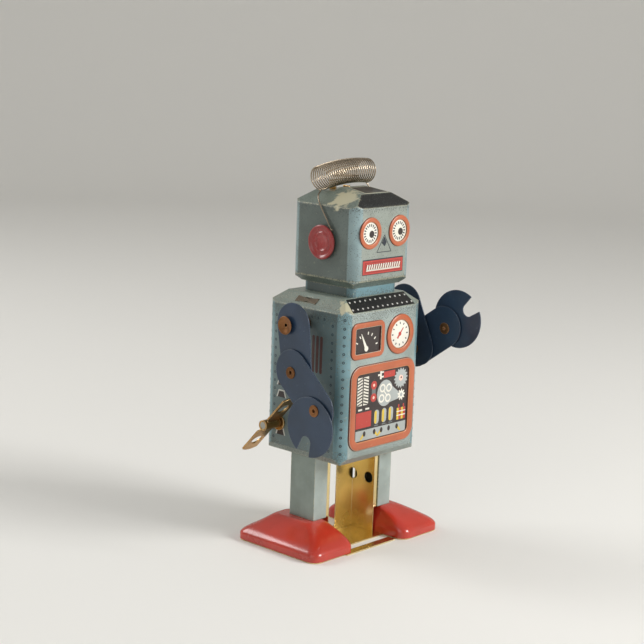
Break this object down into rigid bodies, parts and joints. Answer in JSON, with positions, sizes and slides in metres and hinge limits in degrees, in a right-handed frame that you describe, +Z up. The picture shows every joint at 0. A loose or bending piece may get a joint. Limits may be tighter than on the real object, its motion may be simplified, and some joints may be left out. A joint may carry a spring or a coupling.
{
  "type": "wind-up robot toy",
  "caption": "Tin wind-up toy robot with a square head, coil aerial, jointed spanner-handed arms, side key and walking legs.",
  "frame": {"origin": "on the floor midway between the two feet, under the middle of the body", "axes": "+Z up, the face looks along -Y, +X towards the robot's own left"},
  "size_m": [0.0888, 0.0822, 0.1906],
  "materials": {
    "body_print": "litho print on tin, semi-gloss, worn along its edges",
    "neck_print": "light blue litho print, semi-gloss",
    "arm_print": "dark navy litho print, semi-gloss",
    "foot_print": "glossy red lacquer",
    "ear_print": "glossy dark red lacquer",
    "brown_tab": "lacquered brown tab",
    "gold_tin": "bright gold-lacquered tin",
    "brass": "aged brass",
    "spring_wire": "bright spring wire, slightly tarnished",
    "steel": "turned steel",
    "head_print": "litho print on tin, semi-gloss, worn to cream along its edges",
    "leg_print": "plain grey-green print on tin, semi-gloss",
    "rivet_copper": "dull copper-brown plated rivet, worn bright on its rim"
  },
  "bodies": {
    "case": {"body_shell": "body_print", "back_panel": "body_print", "base_plate": "gold_tin", "shoulder_tabs": "brown_tab", "key_bush": "brass", "neck_collar": "neck_print", "head_shell": "head_print", "head_pan": "head_print", "head_tabs": "brass", "right_ear": "ear_print", "left_ear": "ear_print", "coil_aerial": "spring_wire", "right_motor_plate": "gold_tin", "left_motor_plate": "gold_tin", "motor_pillars": "steel", "mainspring": "spring_wire", "leg_guide_studs": "steel", "right_shoulder_post": "rivet_copper", "left_shoulder_post": "rivet_copper"},
    "winding": {"winding_arbor": "steel", "ratchet_wheel": "steel", "winding_key": "brass"},
    "great_wheel_group": {"great_wheel": "brass", "click_stud": "brass"},
    "click": {"click": "steel"},
    "second_group": {"second_arbor": "steel", "second_wheel": "brass"},
    "crankshaft": {"crank_arbor": "steel", "crank_wheel": "brass", "right_crank": "steel", "left_crank": "steel", "right_crank_clip": "steel", "left_crank_clip": "steel"},
    "star_group": {"star_arbor": "steel", "star_wheel": "brass"},
    "pallet_group": {"pallet_arbor": "steel", "pallet": "brass"},
    "right_leg": {"right_leg_case": "leg_print", "right_leg_web": "gold_tin", "right_foot": "foot_print", "right_sole": "gold_tin"},
    "left_leg": {"left_leg_case": "leg_print", "left_leg_web": "gold_tin", "left_foot": "foot_print", "left_sole": "gold_tin"},
    "right_upper": {"right_upper_arm": "arm_print", "right_elbow_rivet": "rivet_copper"},
    "right_fore": {"right_forearm": "arm_print", "right_wrist_rivet": "rivet_copper"},
    "right_palm": {"right_hand": "arm_print"},
    "left_upper": {"left_upper_arm": "arm_print", "left_elbow_rivet": "rivet_copper"},
    "left_fore": {"left_forearm": "arm_print", "left_wrist_rivet": "rivet_copper"},
    "left_palm": {"left_hand": "arm_print"}
  },
  "joints": [
    {"name": "crank_turn", "type": "hinge", "parent": "case", "child": "crankshaft", "pos_m": [0, -0.00135, 0.0585], "axis": [1, 0, 0], "continuous": true},
    {"name": "key_turn", "type": "hinge", "parent": "case", "child": "winding", "pos_m": [0, 0.0157, 0.0603], "axis": [1, 0, 0], "continuous": true},
    {"name": "great_wheel_turn", "type": "hinge", "parent": "case", "child": "great_wheel_group", "pos_m": [0, 0.0157, 0.0603], "axis": [1, 0, 0], "continuous": true},
    {"name": "click_lift", "type": "hinge", "parent": "great_wheel_group", "child": "click", "pos_m": [-0.003, 0.01029, 0.05651], "axis": [1, 0, 0], "range_deg": [0, 8], "stiffness_Nm_per_rad": 0.00002, "springref_deg": -28.65},
    {"name": "second_turn", "type": "hinge", "parent": "case", "child": "second_group", "pos_m": [0, 0.00629, 0.06775], "axis": [1, 0, 0], "continuous": true},
    {"name": "star_turn", "type": "hinge", "parent": "case", "child": "star_group", "pos_m": [0, -0.00635, 0.06716], "axis": [1, 0, 0], "continuous": true},
    {"name": "pallet_rock", "type": "hinge", "parent": "case", "child": "pallet_group", "pos_m": [0, -0.00855, 0.07456], "axis": [1, 0, 0], "range_deg": [-7, 7]},
    {"name": "right_leg_swing", "type": "hinge", "parent": "crankshaft", "child": "right_leg", "pos_m": [-0.015, 0.00115, 0.0585], "axis": [1, 0, 0], "continuous": true},
    {"name": "left_leg_swing", "type": "hinge", "parent": "crankshaft", "child": "left_leg", "pos_m": [0.015, -0.00385, 0.0585], "axis": [1, 0, 0], "continuous": true},
    {"name": "right_shoulder", "type": "hinge", "parent": "case", "child": "right_upper", "pos_m": [-0.0412, -0.0003, 0.1132], "axis": [-1, 0, 0], "continuous": true},
    {"name": "right_elbow", "type": "hinge", "parent": "right_upper", "child": "right_fore", "pos_m": [-0.042, -0.00461, 0.09081], "axis": [-1, 0, 0], "range_deg": [-135, 62]},
    {"name": "right_wrist", "type": "hinge", "parent": "right_fore", "child": "right_palm", "pos_m": [-0.043, -0.02158, 0.07543], "axis": [-1, 0, 0], "range_deg": [-55, 180]},
    {"name": "left_shoulder", "type": "hinge", "parent": "case", "child": "left_upper", "pos_m": [0.0412, -0.0003, 0.1132], "axis": [-1, 0, 0], "continuous": true},
    {"name": "left_elbow", "type": "hinge", "parent": "left_upper", "child": "left_fore", "pos_m": [0.042, -0.01125, 0.0932], "axis": [-1, 0, 0], "range_deg": [-190, 3]},
    {"name": "left_wrist", "type": "hinge", "parent": "left_fore", "child": "left_palm", "pos_m": [0.043, -0.02996, 0.1064], "axis": [-1, 0, 0], "range_deg": [-120, 110]}
  ],
  "couplings": [
    {"joint": "second_turn", "follows": "crank_turn", "ratio": -0.33333},
    {"joint": "great_wheel_turn", "follows": "crank_turn", "ratio": 0.11111},
    {"joint": "key_turn", "follows": "crank_turn", "ratio": 0.11111},
    {"joint": "star_turn", "follows": "crank_turn", "ratio": -3},
    {"joint": "right_leg_swing", "follows": "crank_turn", "ratio": -1},
    {"joint": "left_leg_swing", "follows": "crank_turn", "ratio": -1}
  ]
}
